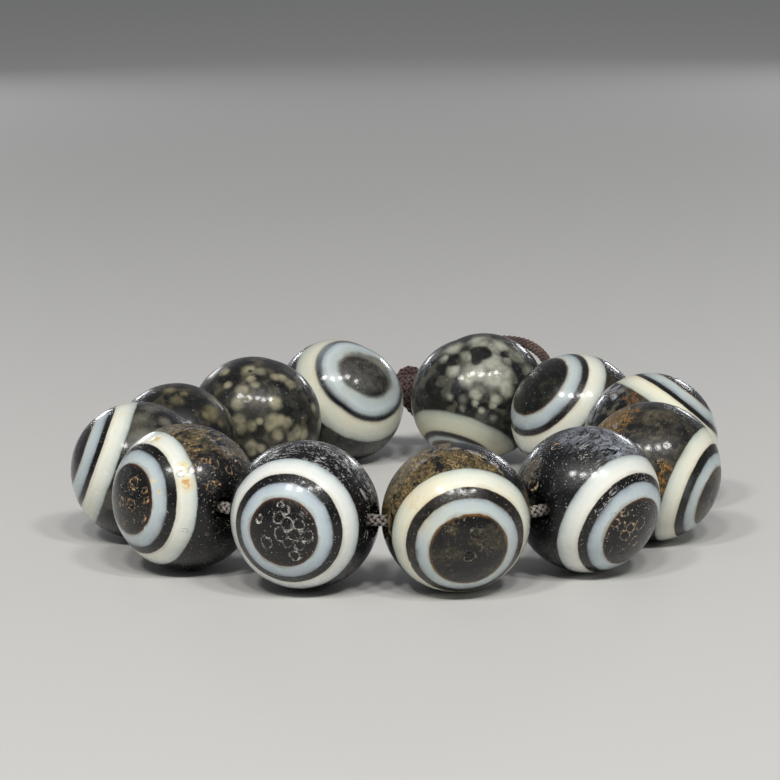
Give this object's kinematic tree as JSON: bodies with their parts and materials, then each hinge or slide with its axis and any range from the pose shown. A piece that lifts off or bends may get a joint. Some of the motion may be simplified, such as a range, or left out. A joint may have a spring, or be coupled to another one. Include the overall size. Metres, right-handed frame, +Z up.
{
  "type": "dzi bead bracelet",
  "caption": "Loose ring bracelet of large round drilled agate beads, each with a banded eye, strung on a braided cord that is knotted closed.",
  "frame": {"origin": "on the surface that the bracelet lies on, under the middle of its overall box", "axes": "+Z up, +X to the right and +Y away from the viewer of the picture, along the longer way of the ring; the knot lies at the +Y end"},
  "size_m": [0.0764, 0.0833, 0.0168],
  "materials": {
    "agate": "polished, worn and pitted",
    "cord": "braided, dusty"
  },
  "bodies": {
    "root": {"bead_01": "agate", "bead_02": "agate", "bead_03": "agate", "bead_04": "agate", "bead_05": "agate", "bead_06": "agate", "bead_07": "agate", "bead_08": "agate", "bead_09": "agate", "bead_10": "agate", "bead_11": "agate", "bead_12": "agate", "cord": "cord", "closing_knot": "cord"}
  },
  "joints": []
}
